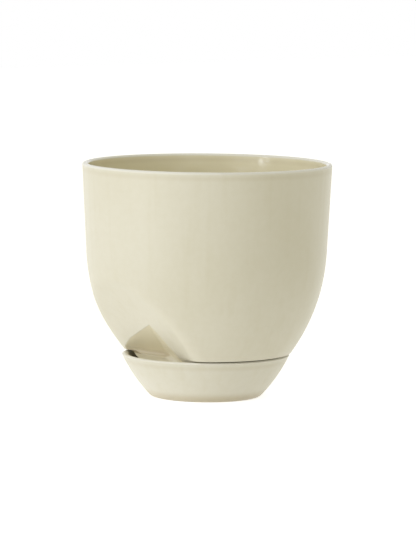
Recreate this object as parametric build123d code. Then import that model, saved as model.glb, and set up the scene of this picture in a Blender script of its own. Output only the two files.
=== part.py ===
from build123d import *
import math
import os

# Glazed plant pot standing in its own saucer, in millimetres.
# Z = 0 is the table, the common axis of both pieces is Z, the watering notch faces -Y.
# Corners of turned pieces are rounded in the flat section, before it is turned.

# ---- where the two pieces meet ----------------------------------------------------------------
joint_height = 34.5          # top of the saucer's rim above the table
joint_radius = 67.7          # both pieces share this outline where they meet
joint_gap = 1.0              # open line between the pot's ledge and the saucer's rim

# ---- saucer -----------------------------------------------------------------------------------
saucer_wall = 4.3
saucer_spread = 23.8         # how much wider the saucer is at its rim than at its foot
saucer_bow = 1.8             # the side bows out this much from a straight cone
saucer_foot_round = 6.0
saucer_floor_top = 6.5
saucer_inner_round = 9.0
saucer_rim_crown = 1.0       # the middle of the rim stands this much above its two edges
saucer_ring_width = 10.9     # standing ring, before its outer corner is rounded
saucer_recess_depth = 1.5
saucer_recess_slope = 1.5

# ---- pot --------------------------------------------------------------------------------------
pot_height = 187.5           # rim above the table when the pot stands in the saucer
rim_radius = 100.0
rim_crown = 1.6              # the middle of the rim stands this much above its two edges
pot_wall = 4.6
wall_taper = 3.7             # radius lost between the rim and the top of the belly
belly_height = 115.5         # here the straight taper turns into the belly arc

plug_clearance = 6.4         # between the plug and the saucer's inner wall, level with its rim
foot_clearance = 2.0         # between the plug's foot and the curve of the saucer's floor
plug_wall = 5.0
plug_fillet = 16.0           # hollow fillet between the plug and the ledge
ledge_thickness = 5.5
ledge_round = 1.0
inner_floor_round = 5.0
foot_ring_width = 6.0
foot_ring_height = 3.0
foot_ring_round = 1.0
pot_floor = 5.5
drain_hole_radius = 7.0
weep_notch_radius = 2.2
weep_notch_count = 3

# ---- facet and watering notch -----------------------------------------------------------------
# The facet is planed off the side that faces -Y. Its foot, where it meets the joint on that
# side, is the anchor of the notch. A cut plane is (bearing it faces, lean, setback): bearing 0
# is -Y and grows towards +X, lean is how far it tips over to look down, and setback is how far
# behind the anchor it passes at the height of the joint.
facet_depth = 21.9           # how deep the facet is planed in at the joint
facet = (0.0, 36.8, 0.0)
facet_soften = 20.0
roof = (17.4, 56.8, 18.7)
cheek = (-21.2, 41.1, 10.8)
far_cheek = (65.0, 61.8, 45.4)
shelf = (37.2, -79.9, 30.2)  # looks up: the floor of the notch, falling outwards
bend_round = 14.0            # between roof and far cheek
crease_round = 3.0           # all the other inner creases of the notch
lip_round = 1.6              # outer edge of the notch
foot_setback = 3.0           # the plug stays this far behind the foot of the facet

ledge_height = joint_height + joint_gap
step_height = ledge_height + ledge_thickness
stand_height = saucer_floor_top
floor_height = stand_height + foot_ring_height
cavity_floor = floor_height + pot_floor
overrun = 12.0               # how far a cutting piece runs past the surface it cuts
big = 400.0
ON_TOP = (Align.CENTER, Align.CENTER, Align.MIN)
BELOW = (Align.CENTER, Align.CENTER, Align.MAX)


# ---- sections and turning -------------------------------------------------------------------------
def section(outline, corners=()):
    """Face from a closed outline in (radius, height), with ((radius, height), size) corners rounded."""
    face = make_face(outline)
    for place, size in corners:
        corner = face.vertices().sort_by_distance(Vector(*place))[0]
        face = fillet(corner, size)
    return face


def turned(outline, corners=()):
    return revolve(Plane.XZ * section(outline, corners), Axis.Z)


def side_point(side, height, inset):
    """(radius, height) on an arc's outside, moved `inset` into the wall behind it."""
    centre, reach = side.arc_center, side.radius - inset
    return centre.X + math.sqrt(reach ** 2 - (height - centre.Y) ** 2), height


def side_arc(side, low, high, inset):
    return ThreePointArc(side_point(side, low, inset), side_point(side, (low + high) / 2, inset),
                         side_point(side, high, inset))


# ---- cut planes ---------------------------------------------------------------------------------
def cut_plane(cut, inset):
    """The plane of a cut, moved `inset` into the wall behind it."""
    bearing, lean = math.radians(cut[0]), math.radians(cut[1])
    outwards = Vector(math.sin(bearing), -math.cos(bearing), 0)
    normal = outwards * math.cos(lean) - Vector(0, 0, math.sin(lean))
    anchor = Vector(0, facet_depth - joint_radius, joint_height)
    return Plane(origin=anchor - outwards * cut[2] - normal * inset, z_dir=normal)


def beyond(cut, inset):
    """A large block filling everything in front of a cut plane."""
    return cut_plane(cut, inset) * Box(big, big, big, align=ON_TOP)


def on_plane(edge, cut, inset):
    plane = cut_plane(cut, inset)
    return all(abs((edge @ t - plane.origin).dot(plane.z_dir)) < 0.01 for t in (0, 0.3, 0.7, 1))


def edges_on(shape, *cuts, inset=0):
    return shape.edges().filter_by(lambda e: all(on_plane(e, cut, inset) for cut in cuts))


def near_anchor(edges):
    """Only the edges round the notch, not the far borders of the cutting blocks."""
    anchor = Vertex(0, facet_depth - joint_radius, joint_height)
    return edges.filter_by(lambda e: e.distance_to(anchor) < rim_radius)


# ---- saucer ---------------------------------------------------------------------------------------
def crown(outer, inner, rise):
    """Arc over a rim, from its outer edge to its inner edge."""
    middle = ((outer[0] + inner[0]) / 2, outer[1] + rise)
    return ThreePointArc(outer, middle, inner)


def saucer_side():
    return SagittaArc((joint_radius - saucer_spread, 0), (joint_radius, joint_height), -saucer_bow)


def saucer_flat_radius():
    """Where the flat floor of the saucer ends and its curve begins."""
    side = saucer_side()
    reach = side.radius - saucer_wall - saucer_inner_round
    rise = saucer_floor_top + saucer_inner_round - side.arc_center.Y
    return side.arc_center.X + math.sqrt(reach ** 2 - rise ** 2)


def saucer():
    side = saucer_side()
    edge_height = joint_height - saucer_rim_crown
    outer_edge = side_point(side, edge_height, 0)
    inner_edge = side_point(side, edge_height, saucer_wall)
    floor_corner = side_point(side, saucer_floor_top, saucer_wall)
    foot = (joint_radius - saucer_spread, 0)
    recess = foot[0] - saucer_ring_width
    outline = Polyline((0, saucer_floor_top), (0, saucer_recess_depth),
                       (recess - saucer_recess_slope, saucer_recess_depth), (recess, 0), foot)
    outline = outline + side_arc(side, 0, edge_height, 0) + crown(outer_edge, inner_edge, saucer_rim_crown)
    outline = outline + side_arc(side, saucer_floor_top, edge_height, saucer_wall)
    outline = outline + Line(floor_corner, (0, saucer_floor_top))
    return turned(outline, [(foot, saucer_foot_round), (floor_corner, saucer_inner_round)])


# ---- body of the pot ------------------------------------------------------------------------------
def belly():
    """The belly arc from the joint up, tangent to the straight taper above it."""
    start = Vector(joint_radius, joint_height)
    end = Vector(rim_radius - wall_taper, belly_height)
    return TangentArc(end, start, tangent=(-wall_taper, belly_height - pot_height))


def faceted(outline, inset, low, soften):
    """The turned outline with the facet planed off and the border of the facet softened."""
    body = turned(outline) - beyond(facet, inset)
    border = edges_on(body, facet, inset=inset).filter_by(lambda e: (e @ 0.5).Z > low + 1)
    return fillet(border, soften)


def wall_outline(inset, low, high):
    """Belly arc and straight taper, `inset` behind the outside, between two heights."""
    slope = wall_taper / (pot_height - belly_height)
    tilt = math.atan(slope)
    join = Vector(rim_radius - wall_taper, belly_height) - Vector(math.cos(tilt), -math.sin(tilt)) * inset
    top = join.X + slope * (high - join.Y)
    return side_arc(belly(), low, join.Y, inset) + Line((join.X, join.Y), (top, high))


def outer_body():
    """Everything inside the pot's outside, down to just below the joint, with its crowned rim."""
    low, edge_height = joint_height - overrun, pot_height - rim_crown
    wall = wall_outline(0, low, edge_height)
    outer_edge = wall @ 1
    inner_edge = wall_outline(pot_wall, step_height, edge_height) @ 1
    outline = wall + crown((outer_edge.X, edge_height), (inner_edge.X, edge_height), rim_crown)
    foot = wall @ 0
    outline = outline + Polyline((inner_edge.X, edge_height), (0, edge_height), (0, low), (foot.X, low))
    return faceted(outline, 0, low, facet_soften)


def inner_body():
    """The room inside the wall, above the ledge."""
    high = pot_height + overrun
    wall = wall_outline(pot_wall, step_height, high)
    foot, top = wall @ 0, wall @ 1
    outline = wall + Polyline((top.X, high), (0, high), (0, step_height), (foot.X, step_height))
    return faceted(outline, pot_wall, step_height, facet_soften - pot_wall)


# ---- nesting part ---------------------------------------------------------------------------------
def plug_radius(height, inset):
    top = side_point(saucer_side(), joint_height, saucer_wall)[0] - plug_clearance
    foot = saucer_flat_radius() - foot_clearance
    return top + (foot - top) * (ledge_height - height) / (ledge_height - stand_height) - inset


def plug_body():
    """Tapered plug under the ledge, with a hollow fillet where it leaves the ledge."""
    corner = (plug_radius(ledge_height, 0), ledge_height)
    foot = (plug_radius(stand_height, 0), stand_height)
    rim = joint_radius - ledge_round
    outline = Polyline((0, step_height), (rim, step_height), (rim, ledge_height), corner, foot,
                       (0, stand_height), (0, step_height))
    return turned(outline, [(corner, plug_fillet), (foot, foot_ring_round)])


def plug_hollow():
    top = step_height + 1
    wide = plug_radius(ledge_height, plug_wall)
    corner = (plug_radius(cavity_floor, plug_wall), cavity_floor)
    outline = Polyline((0, top), (wide, top), (wide, ledge_height), corner, (0, cavity_floor), (0, top))
    return turned(outline, [(corner, inner_floor_round)])


def foot_ring_recess():
    radius = plug_radius(stand_height, foot_ring_width)
    return Pos(0, 0, floor_height) * Cylinder(radius, overrun, align=BELOW)


def weep_notches():
    """Half-round grooves across the standing ring, so that drained water can run out."""
    groove = Pos(0, 0, stand_height) * Rot(90, 0, 0) * Cylinder(weep_notch_radius, joint_radius, align=BELOW)
    cuts = [Rot(0, 0, 180 + 360 / weep_notch_count * (i + 0.5)) * groove for i in range(weep_notch_count)]
    return Part() + cuts


# ---- watering notch -------------------------------------------------------------------------------
def notch_block(inset):
    """The pocket: under the roof, between the cheeks, above the shelf, as one scooped block."""
    block = beyond(roof, inset) & beyond(cheek, inset) & beyond(far_cheek, inset) & beyond(shelf, inset)
    block = fillet(edges_on(block, roof, far_cheek, inset=inset), bend_round + inset)
    return fillet(near_anchor(block.edges()), crease_round)


def notch_cutter():
    """The notch behind the facet, flared so that it leaves a rounded lip round its mouth."""
    slab = cut_plane(facet, 0) * Box(big, big, big, align=BELOW)
    pierced = slab - notch_block(0)
    return slab - fillet(near_anchor(edges_on(pierced, facet)), lip_round)


def cavity():
    """The hollow of the pot; it follows the facet and the notch at wall thickness."""
    return inner_body() + plug_hollow() - notch_block(plug_wall)


def pot():
    shell = outer_body() - Pos(0, 0, ledge_height) * Cylinder(big, big, align=BELOW)
    foot_edges = shell.edges().filter_by_position(Axis.Z, ledge_height - 0.01, ledge_height + 0.01)
    plug = plug_body() - (beyond(facet, foot_setback) & beyond(shelf, 0)) - notch_block(0)
    body = (fillet(foot_edges, ledge_round) - notch_cutter()) + plug - cavity()
    body = body - foot_ring_recess() - weep_notches()
    return body - Cylinder(drain_hole_radius, cavity_floor + 1, align=ON_TOP)


os.makedirs("parts", exist_ok=True)
for node, make in (("pot", pot), ("saucer", saucer)):
    piece = make()
    print(node, round(piece.volume), "mm3, valid", piece.is_valid, "solids", len(piece.solids()))
    export_step(piece, "parts/" + node + ".step")
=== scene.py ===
# %% [markdown]
# # A glazed plant pot that stands in its own saucer
#
# The real object is two slip-cast ceramic pieces in one cream glaze: a tall round-bellied pot
# and the low dish under it. The CAD model already holds their exact shapes, so Blender's work
# here is the surface: what a fired glaze does on walls, edges, hollows and standing rings.
# Every length is in metres, and the axis of both pieces is the Z axis.

# %% Load the two ceramic pieces
import math
import bpy
from mathutils import Matrix, Vector


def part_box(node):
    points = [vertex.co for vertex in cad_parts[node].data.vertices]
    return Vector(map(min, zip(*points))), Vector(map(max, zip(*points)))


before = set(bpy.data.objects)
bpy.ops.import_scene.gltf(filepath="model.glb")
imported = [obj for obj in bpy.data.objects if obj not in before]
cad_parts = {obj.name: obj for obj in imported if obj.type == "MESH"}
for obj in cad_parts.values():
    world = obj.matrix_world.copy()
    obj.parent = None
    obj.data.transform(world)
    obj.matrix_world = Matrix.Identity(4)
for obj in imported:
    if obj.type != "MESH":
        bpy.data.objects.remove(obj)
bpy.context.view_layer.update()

bpy.ops.object.select_all(action="DESELECT")
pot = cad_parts["pot"]
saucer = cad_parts["saucer"]
pot_low, pot_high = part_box("pot")
saucer_low, saucer_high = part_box("saucer")
print("pot", [round(v * 1000, 1) for v in pot_high - pot_low], "mm")
print("saucer", [round(v * 1000, 1) for v in saucer_high - saucer_low], "mm")

# %% [markdown]
# ## Shader maths as plain expressions
#
# A glaze is a sum of small effects: a little paler here, a little yellower there. Written as
# node links that is hard to read, so one small class wraps a socket and lets Python's own
# operators add the Math nodes. `1 - mask` or `mask * 0.3` then means what it says. A second
# class holds the node tree of one material and makes every other kind of node.

# %% A socket that can be added, multiplied and compared
class Wire:
    """An output socket with arithmetic; numbers alone stay in Python."""

    def __init__(self, graph, socket):
        self.graph = graph
        self.socket = socket

    def _math(self, operation, *values):
        return self.graph.node("ShaderNodeMath", {"operation": operation}, values)

    def __add__(self, other):
        return self._math("ADD", self, other)

    def __sub__(self, other):
        return self._math("SUBTRACT", self, other)

    def __rsub__(self, other):
        return self._math("SUBTRACT", other, self)

    def __mul__(self, other):
        return self._math("MULTIPLY", self, other)

    __radd__ = __add__
    __rmul__ = __mul__

    def __gt__(self, other):
        return self._math("GREATER_THAN", self, other)

    def __lt__(self, other):
        return self._math("LESS_THAN", self, other)

    def power(self, exponent):
        return self._math("POWER", self, exponent)

    def ramp(self, low, high):
        """0 below low, 1 above high, a soft step between; low may be above high."""
        return self.graph.node("ShaderNodeMapRange", {"interpolation_type": "SMOOTHSTEP"},
                               {"Value": self, "From Min": low, "From Max": high})


print("besides arithmetic a wire has", [name for name in vars(Wire) if name[0] != "_"])


# %% The node tree of a material
class Graph:
    """The nodes of one material or world, with one method that makes any node."""

    def __init__(self, name, owner=None):
        self.material = owner or bpy.data.materials.new(name)
        self.material.use_nodes = True
        self.tree = self.material.node_tree
        self.tree.nodes.clear()

    def node(self, kind, settings=None, inputs=(), output=0):
        made = self.tree.nodes.new(kind)
        for name, value in (settings or {}).items():
            setattr(made, name, value)
        pairs = inputs.items() if isinstance(inputs, dict) else enumerate(inputs)
        for key, value in pairs:
            if isinstance(value, Wire):
                self.tree.links.new(value.socket, made.inputs[key])
            else:
                made.inputs[key].default_value = value
        return Wire(self, made.outputs[output]) if made.outputs else None

    def blend_colour(self, mask, first, second):
        """The first colour where the mask is 0, the second where it is 1."""
        return self.node("ShaderNodeMix", {"data_type": "RGBA"},
                         {0: mask, 6: first, 7: second}, output=2)

    def finish(self, surface):
        """Wire the last shader to the output that this tree's owner reads."""
        kind = "World" if isinstance(self.material, bpy.types.World) else "Material"
        self.node("ShaderNodeOutput" + kind, inputs=[surface])


print("a graph has", [name for name in vars(Graph) if name[0] != "_"])

# %% [markdown]
# ## The cream glaze
#
# A glaze on pale stoneware is never one colour. Outside it is satin and pale, with soft clouds, a
# fine mottle and very faint vertical streaks. Inside, where it was poured in and swilled round,
# it lies thicker: glossier, warmer and wavy, and paler too, which is painted light on the inner
# walls.
# On the rims it has run thin and breaks almost white, and that white line is partly a painted
# highlight. A few millimetres below the rims the colour is darker and yellower. The roof of the
# notch is painted paler as painted light, while the crease under it and the saucer just above its
# standing ring are painted darker as painted shade. A gas bubble has left a pinhole here and
# there. A painted texture could show all this, but each effect is easier to change as a mask
# worked out from Object coordinates, which are real metres on these pieces, so every pattern has
# its true size.

# %% Colours of the glaze
def from_srgb(red, green, blue):
    """A colour written as on a paint chart, 0 to 255, made linear for the shader."""
    def linear(channel):
        c = channel / 255
        return c / 12.92 if c <= 0.04045 else ((c + 0.055) / 1.055) ** 2.4
    return linear(red), linear(green), linear(blue), 1.0


CREAM = from_srgb(227, 222, 206)
# The saucer's cream, a little paler than the pot's: painted light on the saucer
CREAM_SAUCER_PAINTED_LIGHTER = from_srgb(229, 225, 212)
CREAM_CLOUD = from_srgb(214, 207, 182)
# Inside: warmer where the glaze lies thicker, and paler as painted light on the inner walls
CREAM_INSIDE_AND_PAINTED_LIGHT = from_srgb(240, 233, 208)
# Painted light on the roof of the notch
CREAM_PAINTED_LIGHT = from_srgb(245, 237, 212)
# Thin glaze on the rims, almost white, with a painted highlight there
CREAM_THIN_AND_HIGHLIGHT = from_srgb(246, 244, 238)
# A darker band below the rims, and painted shade in the notch's crease and above the saucer's
# ring
CREAM_DARKER_AND_PAINTED_SHADE = from_srgb(194, 180, 147)
BARE_CLAY = from_srgb(206, 192, 168)
print("cream, linear:", [round(channel, 3) for channel in CREAM[:3]])

# %% Places and patterns on a piece
PINHOLE_CELLS = 55.0            # per metre, so a cell is about 18 mm wide
PINHOLE_EDGE = (0.030, 0.012)   # of a cell, from its centre: half a millimetre
PINHOLE_SHARE = 0.03            # of the cells have one


class Glaze(Graph):
    """A material tree that knows where it is on the piece, in metres."""

    def __init__(self, name, seed):
        super().__init__(name)
        self.seed = seed
        self.place = self.node("ShaderNodeTexCoord", output="Object")
        self.x, self.y, self.z = (
            self.node("ShaderNodeSeparateXYZ", inputs=[self.place], output=axis)
            for axis in range(3))
        self.radius = (self.x * self.x + self.y * self.y).power(0.5)

    def before(self, face):
        """Distance in front of a flat face, given as its normal and its offset."""
        x, y, z, offset = face
        return self.x * x + self.y * y + self.z * z - offset

    def noise(self, scale, stretch=(1, 1, 1), detail=2.0):
        """Soft noise from 0 to 1 with this many waves per metre."""
        spot = self.node("ShaderNodeMapping", inputs={
            "Vector": self.place, "Location": (self.seed,) * 3, "Scale": stretch})
        return self.node("ShaderNodeTexNoise", inputs={
            "Vector": spot, "Scale": scale, "Detail": detail})

    def pinholes(self, share):
        """Small dots in this share of the cells."""
        cells = {"Vector": self.place, "Scale": PINHOLE_CELLS}
        distance = self.node("ShaderNodeTexVoronoi", inputs=cells)
        lottery = self.node("ShaderNodeTexVoronoi", inputs=cells, output="Color")
        ticket = self.node("ShaderNodeSeparateColor", inputs=[lottery])
        return distance.ramp(*PINHOLE_EDGE) * (ticket < share)


print("one cell in", round(1 / PINHOLE_SHARE), "has a pinhole")

# %% How large and how strong each effect is
# Waves per metre, and the level of the noise where each pattern starts and is full
CLOUD_WAVES, CLOUD_STEP = 16, (0.30, 0.72)
STREAK_WAVES, STREAK_STEP, STREAK_STRETCH = 130, (0.48, 0.72), (1, 1, 0.04)
MOTTLE_WAVES, MOTTLE_STEP = 210, (0.35, 0.65)

# Shares of a colour, 1 being all of it
CLOUD, STREAK, MOTTLE, UNDER_RIM, PINHOLE = 0.26, 0.13, 0.09, 0.16, 0.35

# Below the rim: where the thin band with its painted highlight is full, and where the darker band
# starts and ends
THIN_AND_HIGHLIGHT_FULL = 0.0006
UNDER_RIM_START = (0.0025, 0.0045)
UNDER_RIM_END = (0.0080, 0.0050)

# Relief: its full depth and how strongly it shows, then waves per metre and share of the depth
RELIEF_DEPTH, RELIEF_STRENGTH = 0.0010, 0.5
SWELL_WAVES, SWELL = 22, 0.5
POURED_WAVES, POURED_SWELL = 50, 1.3
GRAIN_WAVES, GRAIN = 260, 0.02
PIT = 0.25

# Roughness of the satin outside; how much glossier the inside is above the plug; streaks
SATIN, INSIDE_GLOSS, STREAK_MATT = 0.32, 0.18, 0.03
ABOVE_PLUG = (0.040, 0.060)
print("roughness outside", SATIN, "and inside", round(SATIN - INSIDE_GLOSS, 2))


# %% Mix the glaze
def glaze(name, seed, cream, rim_height, thin_and_highlight_from, inside, pale, painted_shade):
    """The glaze of one piece. It thins out from thin_and_highlight_from below the rim upwards,
    with a painted highlight there; inside(g), pale(g) and painted_shade(g) are the masks that
    tell where else it differs, pale(g) giving painted light and painted_shade(g) painted shade."""
    g = Glaze(name, seed)
    poured = inside(g)
    below_rim = rim_height - g.z
    cloud = g.noise(CLOUD_WAVES, detail=4.0).ramp(*CLOUD_STEP)
    streak = g.noise(STREAK_WAVES, STREAK_STRETCH, detail=3.0).ramp(*STREAK_STEP)
    mottle = g.noise(MOTTLE_WAVES).ramp(*MOTTLE_STEP)
    pinhole = g.pinholes(PINHOLE_SHARE)
    under_rim = below_rim.ramp(*UNDER_RIM_START) * below_rim.ramp(*UNDER_RIM_END) * UNDER_RIM

    uneven = cloud * CLOUD + streak * STREAK + mottle * MOTTLE
    colour = g.blend_colour(uneven, cream, CREAM_CLOUD)
    # Inside: warmer glaze, and paler as painted light
    colour = g.blend_colour(poured, colour, CREAM_INSIDE_AND_PAINTED_LIGHT)
    # Painted light in the notch, above its shelf
    colour = g.blend_colour(pale(g), colour, CREAM_PAINTED_LIGHT)
    # A darker band under the rim, and painted shade in the notch's crease and above the saucer's
    # ring
    colour = g.blend_colour(under_rim + painted_shade(g), colour, CREAM_DARKER_AND_PAINTED_SHADE)
    # Thin glaze on the rim, with a painted highlight
    colour = g.blend_colour(below_rim.ramp(thin_and_highlight_from, THIN_AND_HIGHLIGHT_FULL), colour, CREAM_THIN_AND_HIGHLIGHT)
    colour = g.blend_colour(pinhole * PINHOLE, colour, BARE_CLAY)

    waviness = (g.noise(SWELL_WAVES) * SWELL + poured * g.noise(POURED_WAVES) * POURED_SWELL
                + g.noise(GRAIN_WAVES, detail=4.0) * GRAIN - pinhole * PIT)
    bump = g.node("ShaderNodeBump", inputs={
        "Strength": RELIEF_STRENGTH, "Distance": RELIEF_DEPTH, "Height": waviness})
    roughness = SATIN - poured * g.z.ramp(*ABOVE_PLUG) * INSIDE_GLOSS + streak * STREAK_MATT
    g.finish(g.node("ShaderNodeBsdfPrincipled", inputs={
        "Base Color": colour, "Roughness": roughness, "Normal": bump, "IOR": 1.5}))
    print(name, "has", len(g.tree.nodes), "nodes")
    return g.material


# %% [markdown]
# ## Where the glaze was poured
#
# Each piece is one mesh, so the mask has to tell its inside from its outside. Painting the faces
# would do it, but the meshes come straight from CAD and are left alone. Instead a surface is laid
# through the middle of the wall, and all that is nearer to the axis than it counts as inside: a
# cone in the plug, an arc in the belly and a straight taper above. Behind the facet a plane does
# the same, and round the notch nothing counts as inside.

# %% The middle of the walls
PLUG_RADIUS, PLUG_FOOT, PLUG_FLARE = 0.0355, 0.0065, 0.639
BELLY_FOOT, BELLY_ARC = 0.0405, 0.14888
BELLY_CENTRE_RADIUS, BELLY_CENTRE_HEIGHT = -0.05468, 0.12326
TAPER_RADIUS, TAPER_FOOT, TAPER_FLARE = 0.0940, 0.1155, 0.0514
POT_FLOOR = 0.0140

# The facet, as the normal and offset of its plane, and how far behind it its wall has its middle
FACET, FACET_MIDDLE = (0, -0.8007, -0.5990, 0.01601), 0.00231

# The room round the notch: its top in height, its back along Y
NOTCH_TOP, NOTCH_BACK = (0.085, 0.064), (-0.026, -0.034)

SAUCER_RADIUS, SAUCER_FOOT, SAUCER_FLARE = 0.0470, 0.0065, 0.668
SAUCER_FLOOR = 0.0060
rim_middle = TAPER_RADIUS + (pot_high.z - TAPER_FOOT) * TAPER_FLARE
print("the middle of the rim lies", round(rim_middle * 1000, 1), "mm from the axis")


# %% Inside the pot and inside the saucer
def inside_pot(g):
    """Nearer the axis than the middle of the wall, behind the facet and clear of the notch."""
    plug = PLUG_RADIUS + (g.z - PLUG_FOOT) * PLUG_FLARE
    rise = g.z - BELLY_CENTRE_HEIGHT
    belly = (BELLY_ARC ** 2 - rise * rise).power(0.5) + BELLY_CENTRE_RADIUS
    taper = TAPER_RADIUS + (g.z - TAPER_FOOT) * TAPER_FLARE
    middle = plug + (g.z > BELLY_FOOT) * (belly - plug) + (g.z > TAPER_FOOT) * (taper - belly)
    behind_facet = g.before(FACET) < -FACET_MIDDLE
    clear_of_notch = 1 - g.z.ramp(*NOTCH_TOP) * g.y.ramp(*NOTCH_BACK)
    return (g.radius < middle) * (g.z > POT_FLOOR) * behind_facet * clear_of_notch


def inside_saucer(g):
    return (g.z > SAUCER_FLOOR) * (g.radius < SAUCER_RADIUS + (g.z - SAUCER_FOOT) * SAUCER_FLARE)


print("two inside masks, for the pot and the saucer")

# %% [markdown]
# ## Where light and shade are painted
#
# The notch is the hollow through which the saucer is watered. Its roof is painted paler, as
# painted light, and the crease between roof and shelf darker, as painted shade. On the saucer a
# painted shade lies just above the standing ring, which is wiped bare before firing. Round or
# boxed masks would spill over the edges of the notch, so these use the distances from its flat
# faces.

# %% The faces of the notch
NOTCH_ROOF = (0.1637, -0.5225, -0.8368, -0.01518)
NOTCH_SHELF = (0.1060, -0.1397, 0.9845, 0.03507)
NOTCH_CHEEK = (-0.2725, -0.7026, -0.6574, 0.00136)
NOTCH_FAR_CHEEK = (0.4283, -0.1997, -0.8813, -0.04271)
NOTCH = (NOTCH_ROOF, NOTCH_SHELF, NOTCH_CHEEK, NOTCH_FAR_CHEEK)
BEHIND_FACET = 0.0002           # keeps the mask off the facet itself
INTO_WALL = 0.0008              # and lets it reach this far into the wall behind each face

# Distances where each patch starts and is full, and its share of the colour: painted light on the
# roof of the notch, painted shade in its crease and above the saucer's standing ring
PAINTED_LIGHT_ABOVE_SHELF, PAINTED_LIGHT_ROOF = (0.001, 0.006), 0.9
CREASE_UNDER_ROOF, CREASE_ABOVE_SHELF, CREASE = (0.0048, 0.0028), (0.0060, 0.0020), 0.8
FOOT_HEIGHT, RING_INSIDE, FOOT = (0.0090, 0.0020), 0.0330, 0.6
print("the notch has", len(NOTCH), "flat faces")


# %% Painted light and painted shade
def in_notch(g):
    """Behind the facet and in front of the four faces of the notch."""
    within = g.before(FACET) < -BEHIND_FACET
    for face in NOTCH:
        within = within * (g.before(face) > -INTO_WALL)
    return within


def painted_light_pot(g):
    """Painted light in the notch, everywhere above its shelf."""
    return in_notch(g) * g.before(NOTCH_SHELF).ramp(*PAINTED_LIGHT_ABOVE_SHELF) * PAINTED_LIGHT_ROOF


def painted_shade_pot(g):
    """Painted shade in the crease between the roof and the shelf."""
    crease = (g.before(NOTCH_ROOF).ramp(*CREASE_UNDER_ROOF)
              * g.before(NOTCH_SHELF).ramp(*CREASE_ABOVE_SHELF))
    return in_notch(g) * crease * CREASE


def painted_light_saucer(g):
    """Nowhere: only its rim is paler, from the thin glaze and painted highlight that glaze()
    gives every rim.
    """
    return 0.0


def painted_shade_saucer(g):
    """Painted shade just above the standing ring."""
    return g.z.ramp(*FOOT_HEIGHT) * (g.radius > RING_INSIDE) * FOOT


# The masks of painted light and painted shade on each piece
print("four masks, pale and gathered on each piece")

# %% Glaze the two pieces
pot_glaze = glaze("pot_glaze", seed=1.7, cream=CREAM, rim_height=pot_high.z, thin_and_highlight_from=0.0026,
                  inside=inside_pot, pale=painted_light_pot, painted_shade=painted_shade_pot)
saucer_glaze = glaze("saucer_glaze", seed=4.2, cream=CREAM_SAUCER_PAINTED_LIGHTER, rim_height=saucer_high.z,
                     thin_and_highlight_from=0.0018, inside=inside_saucer, pale=painted_light_saucer,
                     painted_shade=painted_shade_saucer)
for piece, finish in ((pot, pot_glaze), (saucer, saucer_glaze)):
    piece.data.materials.clear()
    piece.data.materials.append(finish)
    print(piece.name, "wears", finish.name, "on", len(piece.data.polygons), "facets")

# %% [markdown]
# ## A white table in a white room
#
# A catalogue shot of pale ceramic is taken on white, lit so softly that hardly a shadow is left.
# A large plane is enough for the table. Its paper is diffuse, so it keeps the object's shadow and
# throws light up under the belly, and it glows a little, as paper on a light table does. The room
# is only the world, in one slightly warm tone. Light Path tells which rays come straight from the
# camera, off the gloss of the glaze or through glass: for those the paper and the room are lifted
# to white, and the light on the object stays as it is.

# %% The table
TABLE_SIZE = 8.0
PAPER = (0.9, 0.9, 0.9, 1)
PAPER_GLOW = 0.20
PAPER_LIFT = 0.50
WHITE = (1, 1, 1, 1)


def sees_background(graph):
    """1 for rays that show the background, 0 for those that light the object."""
    seen = graph.node("ShaderNodeLightPath", output="Is Camera Ray")
    mirrored = graph.node("ShaderNodeLightPath", output="Is Glossy Ray")
    through = graph.node("ShaderNodeLightPath", output="Is Transmission Ray")
    return seen + mirrored + through


bpy.ops.mesh.primitive_plane_add(size=TABLE_SIZE, location=(0, 0, 0))
table = bpy.context.object
table.name = "paper_table"
paper = Graph("white_paper")
matt = paper.node("ShaderNodeBsdfDiffuse", inputs={"Color": PAPER})
glow = paper.node("ShaderNodeEmission", inputs={
    "Color": WHITE, "Strength": PAPER_GLOW + sees_background(paper) * PAPER_LIFT})
paper.finish(paper.node("ShaderNodeAddShader", inputs=[matt, glow]))
table.data.materials.append(paper.material)
print(table.name, "measures", [round(v, 1) for v in table.dimensions], "m")

# %% The room
ROOM_LIGHT = 0.52
ROOM_COLOUR = (1.0, 0.975, 0.79, 1)

room = Graph("white_room", bpy.data.worlds.new("white_room"))
fill = room.node("ShaderNodeBackground", inputs={"Color": ROOM_COLOUR, "Strength": ROOM_LIGHT})
white = room.node("ShaderNodeBackground", inputs={"Color": WHITE, "Strength": 1.0})
room.finish(room.node("ShaderNodeMixShader", inputs=[sees_background(room), fill, white]))
bpy.context.scene.world = room.material
print("room light", ROOM_LIGHT, "and white to the camera")

# %% [markdown]
# ## The camera
#
# The view is almost level, from three metres away and a little over 53 degrees round from the
# notch, so that the notch is seen from its side. The lens is worked out from how much height the
# frame shows at the object's distance. The axis stands slightly left of the middle and leans half
# a degree, as it does when a camera on a tripod isn't quite level.

# %% Camera
CAMERA_BEARING = math.radians(53.5)
CAMERA_PITCH = math.radians(6.15)
CAMERA_ROLL = math.radians(0.52)
CAMERA_DISTANCE = 3.2
CAMERA_AIM = Vector((0.0008, 0.0011, 0.0952))
FRAME_HEIGHT = 0.4447
SENSOR_MM = 36.0


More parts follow.
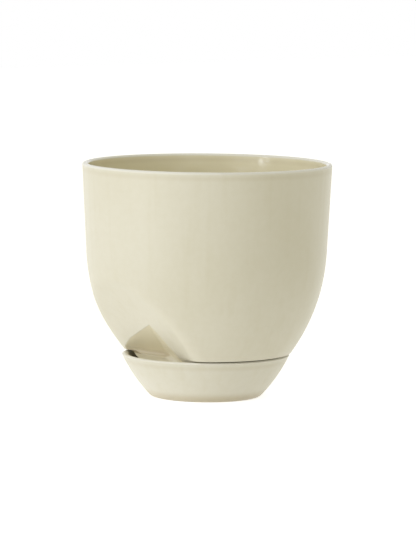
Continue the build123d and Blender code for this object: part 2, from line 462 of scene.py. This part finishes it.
def from_bearing(bearing, pitch):
    """Unit vector from the object towards a place on that bearing, 0 being -Y."""
    return Vector((math.sin(bearing) * math.cos(pitch),
                   -math.cos(bearing) * math.cos(pitch),
                   math.sin(pitch)))


towards = from_bearing(CAMERA_BEARING, CAMERA_PITCH)
level_view = towards.to_track_quat("Z", "Y").to_matrix()
bpy.ops.object.camera_add(location=CAMERA_AIM + towards * CAMERA_DISTANCE)
camera = bpy.context.object
camera.name = "camera"
camera.rotation_euler = (level_view @ Matrix.Rotation(CAMERA_ROLL, 3, "Z")).to_euler()
camera.data.sensor_width = SENSOR_MM
camera.data.lens = SENSOR_MM * CAMERA_DISTANCE / FRAME_HEIGHT
bpy.context.scene.camera = camera
print("lens", round(camera.data.lens), "mm from", CAMERA_DISTANCE, "m")

# %% [markdown]
# ## Two soft boxes
#
# The large one stands to the left, well above the rim: it gives the wall its slow fall from
# light to shade, and leaves the inside of the left wall dark. The small one stands further left
# and not far above the rim's height. It lights the roof of the notch and the side of the saucer,
# and its reflection is the gleam on the inside of the right wall. Both are slightly cool and the
# room is warm, as beside a window in the daytime. The Standard view transform shows every colour
# as it is written.

# %% Soft boxes
DAYLIGHT = (0.90, 0.93, 1.0)


def soft_box(name, turn, rise, distance, size, power):
    """A square soft box; turn is degrees to the right of the camera, rise is degrees up."""
    direction = from_bearing(CAMERA_BEARING + math.radians(turn), math.radians(rise))
    aim = Vector((0, 0, CAMERA_AIM.z))
    bpy.ops.object.light_add(type="AREA", location=aim + direction * distance)
    box = bpy.context.object
    box.name = name
    box.rotation_euler = direction.to_track_quat("Z", "Y").to_euler()
    box.data.size = size
    box.data.energy = power
    box.data.color = DAYLIGHT
    print(name, "stands at", [round(v, 2) for v in box.location], "with", power, "W")


soft_box("large_box_left", turn=-50, rise=25, distance=1.6, size=1.25, power=6.6)
soft_box("small_box_low", turn=-58, rise=8, distance=1.8, size=0.45, power=4.6)

bpy.context.scene.view_settings.view_transform = "Standard"

# %% [markdown]
# ## The size of the two pieces
#
# Nothing here changed the size of the two pieces. Their boxes as loaded are printed at the start.
